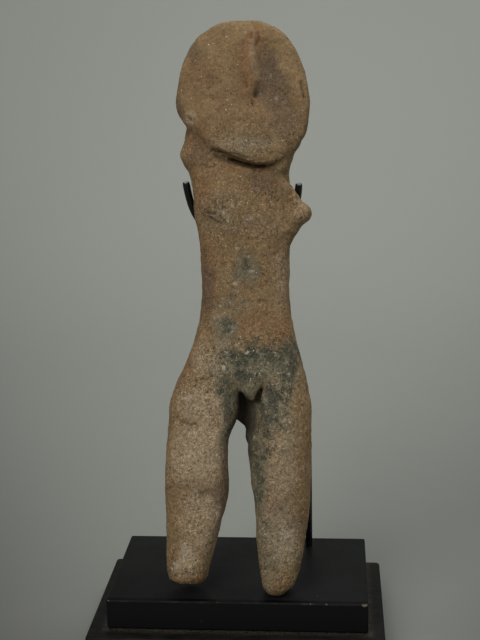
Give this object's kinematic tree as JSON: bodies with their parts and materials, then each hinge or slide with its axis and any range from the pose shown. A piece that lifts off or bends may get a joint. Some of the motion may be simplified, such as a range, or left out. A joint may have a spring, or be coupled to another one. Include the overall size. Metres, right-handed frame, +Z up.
{
  "type": "clay figurine",
  "caption": "Ancient clay figurine with a flat disc face and broken limbs, leaning back in a forked rod above a stepped black stand.",
  "frame": {"origin": "middle of the stand's underside", "axes": "+Z up, the figure faces -Y and leans back towards +Y, +X is at the viewer's right hand"},
  "size_m": [0.1138, 0.0684, 0.239],
  "materials": {
    "clay": "unglazed fired clay, sandy, with dark fire clouds and pale grains",
    "stained_wood": "nearly black stained wood with dusty upper faces",
    "black_lacquer": "satin black lacquer on wood, worn and chipped along its edges",
    "black_rod": "semi-gloss black paint on bent metal rod"
  },
  "bodies": {
    "root": {"figurine": "clay", "base_plinth": "stained_wood", "base_plate": "black_lacquer", "support_fork": "black_rod", "support_post": "black_rod"}
  },
  "joints": []
}
